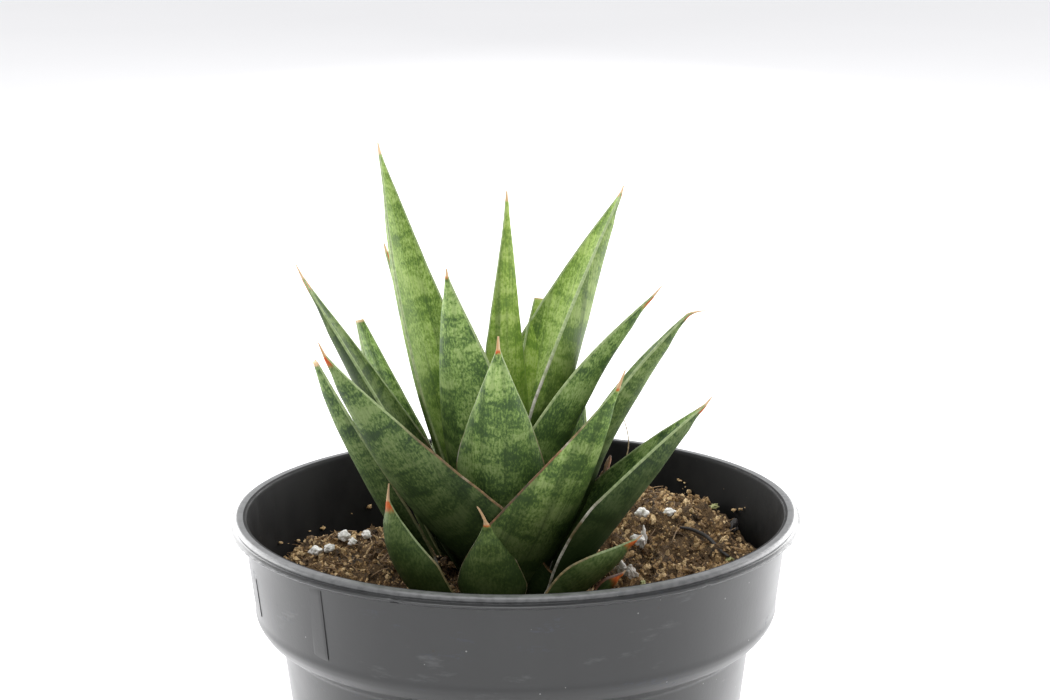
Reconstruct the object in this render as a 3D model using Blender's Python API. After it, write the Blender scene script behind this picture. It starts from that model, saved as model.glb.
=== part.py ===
"""Potted dwarf snake plant: a nursery pot, its potting soil, and a rosette of channelled leaves.

Model frame: +Z up, origin at the centre of the pot's underside, -Y towards the viewer.
Headings are plan angles in degrees: 0 towards -Y, 90 towards +X, 180 towards +Y.
"""
import bpy
import bmesh
from math import cos, exp, hypot, pi, radians, sin
from mathutils import Matrix, Vector

# ------------------------------------------------------------------ driving dimensions
MM = 0.001
GAP = 0.3                       # clearance between touching pieces, mm

# Nursery pot, mm
POT_HEIGHT = 100.0
RIM_RADIUS = 60.0               # 12 cm pot, measured over the rim
RIM_TOP_RADIUS = 58.9
RIM_INNER_RADIUS = 56.4
RIM_LIP = 2.6                   # depth of the flat rim's outer edge
COLLAR_TOP_RADIUS = 57.0
COLLAR_RADIUS = 55.0            # at the foot of the collar
COLLAR_DEPTH = 20.0             # rim down to the start of the shoulder
SHOULDER_DEPTH = 26.5           # rim down to the end of the shoulder
BODY_RADIUS = 49.6              # just under the shoulder
BASE_RADIUS = 41.0
WALL = 0.9
BASE_THICKNESS = 1.6
POT_SEGMENTS = 64
DRAIN_HOLES = 8
DRAIN_HOLE_RADIUS = 4.0
DRAIN_CIRCLE_RADIUS = 29.0

# Potting soil, mm
SOIL_LEVEL = POT_HEIGHT - 15.0
SOIL_SEGMENTS = 48
SOIL_GAP = 0.45                 # to the pot's wall, whose facets run inside its circle
# (x, y, rise, spread) of each mound or hollow in the surface
SOIL_MOUNDS = (
    (32.0, 26.0, 9.0, 15.0),
    (-38.0, 10.0, 4.0, 10.0),
    (-20.0, 44.0, -3.0, 16.0),
    (-30.0, -34.0, -1.5, 14.0),
)

# Loose pieces lying on the soil, mm: (x, y, size, turn in degrees)
PERLITE_GRAINS = (
    (-42.8, 3.5, 2.4, 10.0), (-40.0, 4.6, 2.0, 75.0), (-37.0, 11.0, 2.4, 40.0),
    (-35.2, 8.2, 1.7, 120.0), (-32.6, 16.2, 2.2, 200.0), (27.5, 15.5, 2.6, 15.0),
    (33.6, 16.4, 2.0, 300.0), (26.1, 6.6, 2.4, 160.0),
)
SLIVER_PATH = ((35.5, 10.8), (39.5, 9.8), (42.5, 6.5), (43.8, 3.8), (45.3, 1.5))
SLIVER_RADIUS = 0.6

# Rosette
CROWN = Vector((-2.0, 0.0))     # plan position of the crown's axis, mm
STEM_RADIUS = 6.0               # the short stem that carries the inner leaves
STEM_HEIGHT = 2.0
FACE_STEPS = 5                  # panels across each face of a leaf
STATIONS = 12                   # cross-sections along a leaf
SPINE_RADIUS = 0.35             # of the dry spine that ends a whole leaf
MARGIN_THICKNESS = 0.7


def leaf(name, heading, reach, height, root, root_heading=None, arch=0.0, sway=0.0, width=16.0,
         wide_at=0.35, foot=0.6, taper=1.5, cup=(60, 40), roll=(0, 0), thickness=2.6, kept=1.0):
    """One leaf's dimensions, mm and degrees.

    reach and height place the tip from the crown's axis and the soil level; root is the distance
    of the leaf's foot from that axis. arch bows the leaf outwards and sway sideways, as a share
    of its length. width is across the margins at wide_at; foot is the share of it left at the
    foot. cup is the half angle of the channel, and roll the turn about the midrib, at the foot
    and at the tip. kept is the share of the blade left where the end has dried off and dropped.
    """
    if root_heading is None:
        root_heading = heading
    return dict(name=name, heading=heading, reach=reach, height=height, root=root,
                root_heading=root_heading, arch=arch, sway=sway, width=width, wide_at=wide_at,
                foot=foot, taper=taper, cup=cup, roll=roll, thickness=thickness, kept=kept)


LEAVES = (
    # innermost, nearly upright
    leaf("centre_spear_leaf", 25, 1.5, 82.5, 0.3, root_heading=90, width=13, wide_at=0.3, foot=0.3,
         taper=1.1, cup=(50, 35), thickness=2.0),
    leaf("tall_left_leaf", 228, 36.5, 89, 5, root_heading=235, arch=0.03, width=16, wide_at=0.45,
         foot=0.35, taper=1.35, cup=(65, 45)),
    leaf("tall_right_leaf", 124, 30.5, 80.5, 5, root_heading=132, arch=-0.03, width=24,
         wide_at=0.4, foot=0.25, taper=1.15, cup=(60, 50)),
    leaf("inner_left_leaf", 300, 13.5, 67.5, 5.5, root_heading=338, arch=0.03, width=20,
         wide_at=0.4, foot=0.3, cup=(60, 45), roll=(20, 20)),
    leaf("front_leaf", 353, 16.5, 55, 9.5, root_heading=10, arch=0.07, width=16, wide_at=0.4,
         foot=0.45, cup=(60, 45)),
    leaf("back_sliver_leaf", 160, 22, 55.5, 9, root_heading=168, width=10, kept=0.8),
    # middle ring, leaning out
    leaf("upper_right_leaf", 88, 32, 62, 8, root_heading=80, arch=-0.05, width=20, wide_at=0.4,
         foot=0.3, cup=(55, 45), roll=(-18, -10)),
    leaf("mid_right_leaf", 82, 40, 58, 13, root_heading=95, arch=-0.05, width=16, foot=0.3,
         cup=(60, 45)),
    leaf("front_right_leaf", 45, 33.5, 50, 13, root_heading=32, arch=0.0, width=15, foot=0.45,
         cup=(60, 45)),
    leaf("low_right_leaf", 75, 43.5, 41, 17.5, root_heading=49, arch=-0.01, width=22, wide_at=0.45,
         foot=0.25, cup=(60, 45)),
    leaf("upper_left_leaf", 265, 43, 66, 9, root_heading=262, arch=0.0, width=15, foot=0.35,
         cup=(60, 45)),
    leaf("behind_left_leaf", 235, 39, 50.5, 14, root_heading=244, arch=0.02, width=13, foot=0.35,
         kept=0.85),
    leaf("behind_tall_left_leaf", 224, 37, 66, 9.5, root_heading=214, width=6, foot=0.5,
         cup=(60, 45)),
    leaf("front_left_leaf", 300, 42, 55, 12, root_heading=350, arch=0.03, width=22, wide_at=0.3,
         foot=0.35, cup=(55, 45), roll=(20, 10)),
    leaf("low_left_leaf", 285, 41, 49, 16.5, root_heading=290, arch=0.02, width=13, kept=0.9),
    # the far side of the rosette
    leaf("back_leaf", 181, 24, 44, 14, root_heading=178, width=12, foot=0.35),
    leaf("back_right_leaf", 143, 28, 37, 15, root_heading=130, width=12, foot=0.35),
    leaf("back_left_leaf", 206, 36, 36, 19, root_heading=202, width=14, foot=0.35),
    leaf("low_back_leaf", 166, 36, 27, 20, root_heading=168, width=13, foot=0.4),
    leaf("low_back_right_leaf", 130, 25, 20, 20, root_heading=132, width=12, foot=0.4),
    # short outer leaves round the foot
    leaf("short_front_leaf", 345, 22.5, 22, 22, root_heading=348, arch=0.02, width=13,
         wide_at=0.15, foot=0.9, taper=1.1, cup=(50, 40)),
    leaf("short_left_leaf", 301, 28.5, 25, 23.5, root_heading=312, arch=0.12, width=12,
         wide_at=0.25, foot=0.8, cup=(60, 40)),
    leaf("short_right_leaf", 57, 31, 13, 25.5, root_heading=24, arch=0.0, width=12, cup=(60, 40)),
    leaf("small_right_leaf", 62, 28, 5, 25, root_heading=46, width=5, thickness=1.6),
    leaf("dried_bract", 100, 22.5, 25, 17, root_heading=104, width=6, thickness=1.6),
)


# ------------------------------------------------------------------ helpers
def clear_scene():
    for item in list(bpy.data.objects):
        bpy.data.objects.remove(item, do_unlink=True)


def material(name, colour, roughness):
    made = bpy.data.materials.new(name)
    made.use_nodes = True
    shader = made.node_tree.nodes["Principled BSDF"]
    shader.inputs["Base Color"].default_value = (*colour, 1.0)
    shader.inputs["Roughness"].default_value = roughness
    made.diffuse_color = (*colour, 1.0)
    return made


def add_object(name, bm, finish):
    """Turn a bmesh in millimetres into a smooth-shaded object in metres."""
    bmesh.ops.recalc_face_normals(bm, faces=bm.faces)
    bmesh.ops.scale(bm, vec=(MM, MM, MM), verts=bm.verts)
    mesh = bpy.data.meshes.new(name)
    bm.to_mesh(mesh)
    bm.free()
    mesh.shade_smooth()
    mesh.set_sharp_from_angle(angle=radians(35))
    mesh.materials.append(finish)
    item = bpy.data.objects.new(name, mesh)
    bpy.context.scene.collection.objects.link(item)
    return item


def heading_vector(degrees):
    """Unit plan vector of a heading."""
    return Vector((sin(radians(degrees)), -cos(radians(degrees)), 0.0))


# ------------------------------------------------------------------ pot
def turned(profile, segments):
    """Spin a closed (radius, height) outline about Z into one closed body."""
    bm = bmesh.new()
    points = [bm.verts.new((radius, 0.0, height)) for radius, height in profile]
    edges = [bm.edges.new((a, b)) for a, b in zip(points, points[1:])]
    if profile[0][0] > 0.0:
        edges.append(bm.edges.new((points[-1], points[0])))
    bmesh.ops.spin(bm, geom=points + edges, axis=(0, 0, 1), cent=(0, 0, 0), angle=2 * pi,
                   steps=segments, use_merge=True)
    bmesh.ops.remove_doubles(bm, verts=bm.verts, dist=1e-4)
    return bm


def pot_profile():
    """Outline of the pot's wall, from the middle of the underside out and back inside."""
    top = POT_HEIGHT
    return (
        (0.0, 1.0), (BASE_RADIUS - 7.0, 1.0), (BASE_RADIUS - 6.0, 0.0), (BASE_RADIUS - 0.8, 0.0),
        (BASE_RADIUS, 0.8),
        (BODY_RADIUS, top - SHOULDER_DEPTH), (BODY_RADIUS + 1.4, top - SHOULDER_DEPTH + 1.2),
        (COLLAR_RADIUS - 1.6, top - COLLAR_DEPTH - 3.6), (COLLAR_RADIUS - 0.4, top - COLLAR_DEPTH - 1.8),
        (COLLAR_RADIUS, top - COLLAR_DEPTH),
        (COLLAR_TOP_RADIUS, top - RIM_LIP),
        (RIM_RADIUS - 0.3, top - RIM_LIP), (RIM_RADIUS, top - 1.5), (RIM_RADIUS - 0.3, top - 0.6),
        (RIM_TOP_RADIUS, top), (RIM_INNER_RADIUS + 0.2, top), (RIM_INNER_RADIUS, top - 0.4),
        (COLLAR_RADIUS - WALL, top - COLLAR_DEPTH),
        (COLLAR_RADIUS - WALL - 0.6, top - COLLAR_DEPTH - 1.8),
        (BODY_RADIUS - WALL + 1.0, top - SHOULDER_DEPTH + 1.4),
        (BODY_RADIUS - WALL, top - SHOULDER_DEPTH),
        (BASE_RADIUS - WALL, 1.0 + BASE_THICKNESS), (0.0, 1.0 + BASE_THICKNESS),
    )


def build_pot(finish):
    pot = add_object("grow_pot", turned(pot_profile(), POT_SEGMENTS), finish)
    holes = bmesh.new()
    for index in range(DRAIN_HOLES):
        place = Matrix.Rotation(2 * pi * index / DRAIN_HOLES, 4, "Z") @ Matrix.Translation(
            (DRAIN_CIRCLE_RADIUS, 0.0, 1.0))
        bmesh.ops.create_cone(holes, cap_ends=True, segments=16, radius1=DRAIN_HOLE_RADIUS,
                              radius2=DRAIN_HOLE_RADIUS, depth=8.0, matrix=place)
    cutter = add_object("drain_hole_cutter", holes, finish)
    cutter.hide_render = True
    cutter.display_type = "WIRE"
    drain = pot.modifiers.new("drain_holes", "BOOLEAN")
    drain.object = cutter
    drain.solver = "EXACT"
    return pot


# ------------------------------------------------------------------ soil
def soil_height(x, y):
    """Height of the soil's surface over the model's origin, mm."""
    height = SOIL_LEVEL
    for mound_x, mound_y, rise, spread in SOIL_MOUNDS:
        height += rise * exp(-((x - mound_x) ** 2 + (y - mound_y) ** 2) / (2 * spread ** 2))
    return height


def stem_top():
    return soil_height(CROWN.x, CROWN.y) + 2 * GAP + STEM_HEIGHT


def footing(x, y):
    """Lowest a leaf may reach over a point: just clear of the soil and of the crown's stem."""
    if hypot(x - CROWN.x, y - CROWN.y) < STEM_RADIUS + GAP + 0.1:
        return stem_top() + GAP
    return soil_height(x, y) + GAP + 0.2


def build_soil(finish):
    """Fill the pot to the soil's uneven surface, just clear of the wall."""
    top = POT_HEIGHT
    edge = COLLAR_RADIUS - WALL + 0.09 * (SOIL_LEVEL + COLLAR_DEPTH - top) - SOIL_GAP
    rings = [(0.0, SOIL_LEVEL)] + [(edge * step / 9.0, SOIL_LEVEL) for step in range(1, 10)]
    wall = [
        (COLLAR_RADIUS - WALL - SOIL_GAP, top - COLLAR_DEPTH),
        (COLLAR_RADIUS - WALL - 0.7 - SOIL_GAP, top - COLLAR_DEPTH - 1.7),
        (BODY_RADIUS - WALL + 0.8 - SOIL_GAP, top - SHOULDER_DEPTH + 1.5),
        (BODY_RADIUS - WALL - 0.1 - SOIL_GAP, top - SHOULDER_DEPTH),
        (BASE_RADIUS - WALL - SOIL_GAP, 1.0 + BASE_THICKNESS + GAP), (0.0, 1.0 + BASE_THICKNESS + GAP),
    ]
    bm = turned(rings + wall, SOIL_SEGMENTS)
    for vert in bm.verts:
        if abs(vert.co.z - SOIL_LEVEL) < 1e-3:
            vert.co.z = soil_height(vert.co.x, vert.co.y)
    return add_object("potting_soil", bm, finish)


def build_grain(name, x, y, size, turn, finish):
    """One rough crumb of perlite resting on the soil."""
    bm = bmesh.new()
    bmesh.ops.create_icosphere(bm, subdivisions=1, radius=0.5 * size)
    for index, vert in enumerate(bm.verts):
        vert.co *= 1.0 + 0.16 * sin(2.3 * index + turn)
        vert.co.z *= 0.75
    bmesh.ops.rotate(bm, matrix=Matrix.Rotation(radians(turn), 3, "Z"), verts=bm.verts)
    lowest = min(vert.co.z for vert in bm.verts)
    rest = max(soil_height(x + dx * size, y + dy * size) for dx in (-0.5, 0, 0.5)
               for dy in (-0.5, 0, 0.5)) + GAP - lowest
    bmesh.ops.translate(bm, vec=(x, y, rest), verts=bm.verts)
    return add_object(name, bm, finish)


def build_sliver(finish):
    """Thin curved sliver of dark bark lying on the soil."""
    path = [Vector((x, y, soil_height(x, y) + SLIVER_RADIUS + GAP + 0.3)) for x, y in SLIVER_PATH]
    bm = bmesh.new()
    rings = []
    for index, centre in enumerate(path):
        ahead = path[min(index + 1, len(path) - 1)] - path[max(index - 1, 0)]
        side = Vector((-ahead.y, ahead.x, 0.0)).normalized()
        over = ahead.cross(side).normalized()
        radius = SLIVER_RADIUS * (0.6 if index in (0, len(path) - 1) else 1.0)
        rings.append([bm.verts.new(centre + radius * (side * cos(pi * k / 4) + over * sin(pi * k / 4)))
                      for k in range(8)])
    for lower, upper in zip(rings, rings[1:]):
        for k in range(8):
            bm.faces.new((lower[k], lower[(k + 1) % 8], upper[(k + 1) % 8], upper[k]))
    bm.faces.new(rings[0])
    bm.faces.new(rings[-1][::-1])
    return add_object("bark_sliver", bm, finish)


# ------------------------------------------------------------------ leaves
def blade_share(place, spec):
    """Half width at a place along the blade, as a share of the widest half width."""
    wide_at, foot = spec["wide_at"], spec["foot"]
    if place < wide_at:
        return foot + (1.0 - foot) * sin(0.5 * pi * place / wide_at)
    return 1.0 - ((place - wide_at) / (1.0 - wide_at)) ** spec["taper"]


def midrib(spec):
    """Quadratic curve of the midrib as three control points, mm."""
    foot_out = heading_vector(spec["root_heading"]) * spec["root"]
    tip_out = heading_vector(spec["heading"]) * spec["reach"]
    crown = Vector((CROWN.x, CROWN.y, 0.0))
    start = crown + foot_out
    start.z = footing(start.x, start.y)
    end = crown + tip_out
    end.z = SOIL_LEVEL + spec["height"]
    chord = end - start
    side = Vector((-heading_vector(spec["heading"]).y, heading_vector(spec["heading"]).x, 0.0))
    outwards = side.cross(chord).normalized()
    if outwards.dot(heading_vector(spec["heading"])) < 0.0:
        outwards = -outwards
    middle = (start + end) / 2.0
    middle += outwards * (2.0 * spec["arch"] * chord.length)
    middle += side * (2.0 * spec["sway"] * chord.length)
    return start, middle, end


def section(centre, along, heading, share, place, spec):
    """Closed ring of points round the leaf: the inner face, then the outer face back."""
    side = Vector((-heading.y, heading.x, 0.0))
    inward = along.cross(side).normalized()
    across = inward.cross(along).normalized()
    turn = radians(spec["roll"][0] + (spec["roll"][1] - spec["roll"][0]) * place)
    across, inward = (across * cos(turn) + inward * sin(turn),
                      inward * cos(turn) - across * sin(turn))
    cup = radians(spec["cup"][0] + (spec["cup"][1] - spec["cup"][0]) * place)
    half = max(0.5 * spec["width"] * share, SPINE_RADIUS)
    thick = max(min(spec["thickness"], 0.9 * half) * min(1.0, 0.35 + share), 2 * SPINE_RADIUS)
    inner, outer = [], []
    for step in range(FACE_STEPS + 1):
        s = 2.0 * step / FACE_STEPS - 1.0
        angle = cup * s
        arc = centre + across * (half * sin(angle) / sin(cup)) \
            + inward * (half * (1.0 - cos(angle)) / sin(cup))
        normal = inward * cos(angle) - across * sin(angle)
        depth = MARGIN_THICKNESS * min(1.0, 0.4 + share) \
            + (thick - MARGIN_THICKNESS) * (1.0 - s * s)
        inner.append(arc + normal * (0.4 * depth))
        outer.append(arc - normal * (0.6 * depth))
    return inner + outer[::-1]


def build_stem(finish):
    """Low round stem at the crown, standing on the soil."""
    foot = stem_top() - STEM_HEIGHT
    profile = ((0.0, foot), (STEM_RADIUS - 0.6, foot), (STEM_RADIUS, foot + 0.5),
               (STEM_RADIUS - 0.5, foot + STEM_HEIGHT - 0.3), (STEM_RADIUS - 1.2, stem_top()),
               (0.0, stem_top()))
    bm = turned(profile, 24)
    bmesh.ops.translate(bm, vec=(CROWN.x, CROWN.y, 0.0), verts=bm.verts)
    return add_object("crown_stem", bm, finish)


def build_leaf(spec, finish):
    """Bridge the leaf's cross-sections from foot to tip and cap both ends."""
    start, middle, end = midrib(spec)
    bm = bmesh.new()
    rings = []
    heading = heading_vector(spec["heading"])
    for station in range(STATIONS):
        t = station / (STATIONS - 1)
        centre = start * (1 - t) ** 2 + middle * (2 * t * (1 - t)) + end * t ** 2
        along = ((middle - start) * (1 - t) + (end - middle) * t).normalized()
        share = blade_share(t * spec["kept"], spec)
        points = section(centre, along, heading, share, t, spec)
        for point in points:
            point.z = max(point.z, footing(point.x, point.y))
        rings.append([bm.verts.new(point) for point in points])
    for lower, upper in zip(rings, rings[1:]):
        for index in range(len(lower)):
            after = (index + 1) % len(lower)
            bm.faces.new((lower[index], lower[after], upper[after], upper[index]))
    cap_section(bm, rings[0])
    cap_section(bm, rings[-1])
    return add_object(spec["name"], bm, finish)


def cap_section(bm, ring):
    """Close a leaf's end with a strip of quads between its two faces."""
    count = len(ring)
    for index in range(count // 2 - 1):
        bm.faces.new((ring[index], ring[index + 1], ring[count - 2 - index],
                      ring[count - 1 - index]))


# ------------------------------------------------------------------ assembly
def main():
    clear_scene()
    plastic = material("dark_grey_plastic", (0.09, 0.095, 0.10), 0.42)
    soil = material("brown_peat", (0.11, 0.065, 0.035), 0.95)
    green = material("mottled_leaf_green", (0.10, 0.21, 0.06), 0.45)
    straw = material("dried_straw", (0.45, 0.27, 0.13), 0.8)
    white = material("white_perlite", (0.82, 0.80, 0.75), 0.9)
    bark = material("dark_bark", (0.02, 0.017, 0.015), 0.7)
    build_pot(plastic)
    build_soil(soil)
    build_stem(green)
    for spec in LEAVES:
        build_leaf(spec, straw if spec["name"] == "dried_bract" else green)
    for number, (x, y, size, turn) in enumerate(PERLITE_GRAINS, start=1):
        build_grain(f"perlite_{number}", x, y, size, turn, white)
    build_sliver(bark)


main()
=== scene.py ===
"""Potted dwarf snake plant: channelled, mottled leaves in peat, in a round nursery pot.

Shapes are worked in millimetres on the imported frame's own axes and scaled to metres as each
piece is finished. Headings are degrees round the pot: 0 is the front (-Y), 90 the right (+X).
"""

from math import atan2, cos, exp, hypot, pi, radians, sin

import bmesh
import bpy
import numpy as np
from mathutils import Matrix, Vector, noise


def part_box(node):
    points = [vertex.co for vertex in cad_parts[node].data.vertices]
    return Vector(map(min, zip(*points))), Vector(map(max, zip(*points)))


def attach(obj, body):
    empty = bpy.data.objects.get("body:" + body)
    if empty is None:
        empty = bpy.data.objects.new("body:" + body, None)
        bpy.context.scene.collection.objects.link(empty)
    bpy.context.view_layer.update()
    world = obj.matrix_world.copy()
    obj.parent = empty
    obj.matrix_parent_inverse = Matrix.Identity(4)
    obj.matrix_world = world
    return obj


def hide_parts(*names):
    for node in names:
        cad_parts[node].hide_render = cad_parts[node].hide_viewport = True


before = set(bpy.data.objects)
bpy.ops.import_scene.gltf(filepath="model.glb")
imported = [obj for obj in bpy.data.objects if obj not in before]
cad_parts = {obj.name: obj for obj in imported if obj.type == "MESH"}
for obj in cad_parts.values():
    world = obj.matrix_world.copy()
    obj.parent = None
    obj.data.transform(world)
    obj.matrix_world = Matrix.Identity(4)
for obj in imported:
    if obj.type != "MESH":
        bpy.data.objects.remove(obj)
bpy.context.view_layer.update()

MM = 0.001
STUDIO = bpy.context.scene.collection

# The pot and the crown, mm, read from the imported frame
POT_LOW, POT_HIGH = (np.array(corner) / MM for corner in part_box("grow_pot"))
STEM_LOW, STEM_HIGH = (np.array(corner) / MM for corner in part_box("crown_stem"))
RIM_TOP = float(POT_HIGH[2])
RIM_RADIUS = float(POT_HIGH[0] - POT_LOW[0]) / 2.0
CROWN = Vector((float(STEM_LOW[0] + STEM_HIGH[0]) / 2.0, float(STEM_LOW[1] + STEM_HIGH[1]) / 2.0))
SOIL_LEVEL = RIM_TOP - 15.0
SOIL_RADIUS = RIM_RADIUS - 5.9
SOIL_FOOT = 3.1

# Pot wall under the rim, mm
COLLAR_TOP_RADIUS = RIM_RADIUS - 3.0
COLLAR_RADIUS = RIM_RADIUS - 5.0
COLLAR_DEPTH = 20.0
SHOULDER_DEPTH = 26.5
BODY_RADIUS = RIM_RADIUS - 10.4
BASE_RADIUS = RIM_RADIUS - 19.0
RIM_DEPTH = 2.6
WALL = 0.9
FLOOR_TOP = 2.6
DRAIN_HOLES = 8
DRAIN_RADIUS = 4.0
DRAIN_CIRCLE = 29.0
POT_SEGMENTS = 400

# (x, y, rise, spread) of each mound or hollow in the soil, mm
SOIL_MOUNDS = (
    (32.0, 26.0, 9.0, 15.0),
    (-38.0, 10.0, 4.0, 10.0),
    (-20.0, 44.0, -3.0, 16.0),
    (-30.0, -34.0, -1.5, 14.0),
)


# ------------------------------------------------------------------ finishes
def wire(tree, kind, feeds, settings):
    """Add a node, set its properties, and link or set its inputs; a node feeds its first output."""
    node = tree.nodes.new(kind)
    for key, value in settings.items():
        setattr(node, key, value)
    for key, value in (feeds or {}).items():
        if isinstance(value, bpy.types.Node):
            value = value.outputs[0]
        if isinstance(value, bpy.types.NodeSocket):
            tree.links.new(value, node.inputs[key])
        else:
            node.inputs[key].default_value = value
    return node


class Finish:
    """Wires one material. Its methods return the socket that they make, but wear and relief."""

    def __init__(self, name, **fixed):
        self.material = bpy.data.materials.new(name)
        self.material.use_nodes = True
        self.tree = self.material.node_tree
        self.shader = self.tree.nodes["Principled BSDF"]
        for socket, value in fixed.items():
            self.shader.inputs[socket.replace("_", " ")].default_value = value

    def add(self, kind, feeds=None, out=0, **settings):
        return wire(self.tree, kind, feeds, settings).outputs[out]

    def wear(self, socket, value):
        self.tree.links.new(value, self.shader.inputs[socket])

    def place(self):
        """Object coordinates, in millimetres."""
        metres = self.add("ShaderNodeTexCoord", out=3)
        return self.add("ShaderNodeVectorMath", {0: metres, 1: (1e3, 1e3, 1e3)}, operation="MULTIPLY")

    def blade_map(self):
        """Position on a leaf: across, then along, in millimetres."""
        return self.add("ShaderNodeUVMap", uv_map="blade")

    def grade(self, name):
        """A value stored on the mesh."""
        return self.add("ShaderNodeAttribute", out=2, attribute_name=name)

    def stretch(self, where, sizes, shift=(0, 0, 0)):
        scale = [1.0 / size for size in (sizes if isinstance(sizes, tuple) else (sizes,) * 3)]
        return self.add("ShaderNodeMapping", {"Vector": where, "Location": shift, "Scale": scale})

    def grain(self, where, sizes, shift=(0, 0, 0), detail=2.0, rough=0.55, twist=0.0):
        """Noise whose grains are about as large as sizes, in millimetres."""
        return self.add("ShaderNodeTexNoise",
                        {"Vector": self.stretch(where, sizes, shift), "Scale": 1.0,
                         "Detail": detail, "Roughness": rough, "Distortion": twist})

    def cells(self, where, sizes, shift=(0, 0, 0)):
        """Distance from scattered spots, in cells of these sizes."""
        return self.add("ShaderNodeTexVoronoi",
                        {"Vector": self.stretch(where, sizes, shift), "Scale": 1.0, "Randomness": 1.0})

    def sum(self, operation, first, second=0.0, third=0.0):
        return self.add("ShaderNodeMath", {0: first, 1: second, 2: third}, operation=operation)

    def times(self, first, second):
        return self.sum("MULTIPLY", first, second)

    def weigh(self, *parts):
        """Sum of (value, weight) pairs."""
        total = self.times(*parts[0])
        for value, weight in parts[1:]:
            total = self.sum("MULTIPLY_ADD", value, weight, total)
        return total

    def fade(self, value, low, high, start=0.0, stop=1.0):
        """Smooth step of a value from low to high."""
        return self.add("ShaderNodeMapRange", {"Value": value, "From Min": low, "From Max": high,
                                               "To Min": start, "To Max": stop},
                        interpolation_type="SMOOTHSTEP")

    def blend(self, share, first, second):
        pair = [(*colour, 1.0) if isinstance(colour, tuple) else colour for colour in (first, second)]
        return self.add("ShaderNodeMix", {0: share, 6: pair[0], 7: pair[1]}, out=2,
                        data_type="RGBA", blend_type="MIX")

    def layers(self, base, *coats):
        """Lay (share, colour) coats over a base, one after another."""
        for share, colour in coats:
            base = self.blend(share, base, colour)
        return base

    def ramp(self, value, stops, tone=1.0):
        """Colours at places along a value, all made lighter or darker by tone."""
        node = self.tree.nodes.new("ShaderNodeValToRGB")
        self.tree.links.new(value, node.inputs[0])
        marks = node.color_ramp.elements
        while len(marks) < len(stops):
            marks.new(0.5)
        for mark, (at, colour) in zip(marks, stops):
            mark.position = at
            mark.color = (*(tone * part for part in colour), 1.0)
        return node.outputs[0]

    def relief(self, height, strength, depth_mm):
        self.wear("Normal", self.add("ShaderNodeBump", {"Height": height, "Strength": strength,
                                                        "Distance": depth_mm * MM}))


def leaf_finish():
    """Mottled bands over fine lengthwise veins, turning red and then straw at the tip; painted shade
    darkens it near the soil, on the outer face and leaf by leaf.
    """
    made = Finish("mottled_blade")
    where = made.blade_map()
    youth, outer, tip = made.grade("youth"), made.grade("outer"), made.grade("tip_mm")
    straw, ember, foot = made.grade("straw"), made.grade("ember"), made.grade("foot_share")
    rise = made.grade("rise_mm")

    bands = made.grain(where, (8.5, 4.6, 1.0), detail=1.5, twist=0.6)
    patches = made.grain(where, (2.6, 2.2, 1.0), (7, 3, 0), detail=3.0, rough=0.65)
    specks = made.grain(where, (0.36, 0.80, 1.0), detail=2.0, rough=0.65)
    veins = made.grain(where, (0.38, 14.0, 1.0), (3, 9, 0), detail=2.0)
    streaks = made.grain(where, (2.3, 60.0, 1.0), (5, 1, 0), detail=2.0)

    mottle = made.weigh((patches, 0.28), (bands, 0.44), (specks, 0.44))
    light = made.fade(mottle, 0.46, 0.69)
    tissue = made.ramp(light, ((0.0, (0.026, 0.064, 0.017)), (0.35, (0.090, 0.168, 0.036)),
                               (0.7, (0.215, 0.335, 0.085)), (1.0, (0.345, 0.465, 0.165))))
    fresh = made.ramp(light, ((0.0, (0.135, 0.240, 0.026)), (0.5, (0.250, 0.375, 0.052)),
                              (1.0, (0.395, 0.520, 0.135))))
    # Painted shade on the outer face near the soil, where it faces down among the leaves.
    painted_low_outer_shade = made.fade(rise, 40.0, 12.0, 0.0, 0.30)
    tissue = made.layers(
        tissue, (youth, fresh),
        (made.times(outer, 0.07), (0.19, 0.26, 0.16)),
        (made.fade(veins, 0.35, 0.75, 0.0, 0.36), (0.032, 0.070, 0.02)),
        (made.times(made.fade(streaks, 0.54, 0.66), 0.45), (0.022, 0.050, 0.012)),
        # Darker towards the soil: mostly painted shade where less light reaches, partly the darker
        # tissue low on a leaf.
        (made.fade(rise, 50.0, 4.0, 0.0, 0.80), (0.018, 0.032, 0.009)),
        # Painted shade on the outer face, set per leaf and deeper near the soil.
        (made.times(outer, made.sum("ADD", made.grade("under"), painted_low_outer_shade)), (0.014, 0.026, 0.007)),
        # Painted shade over the whole leaf, set per leaf.
        (made.grade("shade"), (0.012, 0.022, 0.006)),
        # Darker towards the foot: partly the leaf's own darker base, partly painted shade.
        (made.fade(foot, 0.50, 0.0, 0.0, 0.5), (0.010, 0.019, 0.006)))

    past_straw = made.sum("SUBTRACT", tip, straw)
    rough_edge = made.sum("MULTIPLY_ADD", specks, 1.1, past_straw)
    ember_share = made.sum("DIVIDE", rough_edge, ember)
    red = made.ramp(made.grain(where, (0.8, 2.5, 1.0)),
                    ((0.3, (0.42, 0.045, 0.012)), (0.7, (0.56, 0.16, 0.03))))
    dry = made.ramp(veins, ((0.3, (0.42, 0.24, 0.100)), (0.7, (0.74, 0.57, 0.36))))
    made.wear("Base Color", made.layers(tissue, (made.fade(ember_share, 1.25, 0.55), red),
                                        (made.fade(past_straw, 0.35, -0.25), dry)))
    made.wear("Roughness", made.fade(mottle, 0.35, 0.65, 0.46, 0.60))
    made.wear("Specular IOR Level", made.fade(rise, 4.0, 38.0, 0.06, 0.24))
    skin = made.grain(where, (0.25, 0.4, 1.0), detail=3.0)
    made.relief(made.weigh((skin, 0.35), (veins, 0.6), (streaks, 0.8)), 0.35, 0.28)
    return made.material


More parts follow.
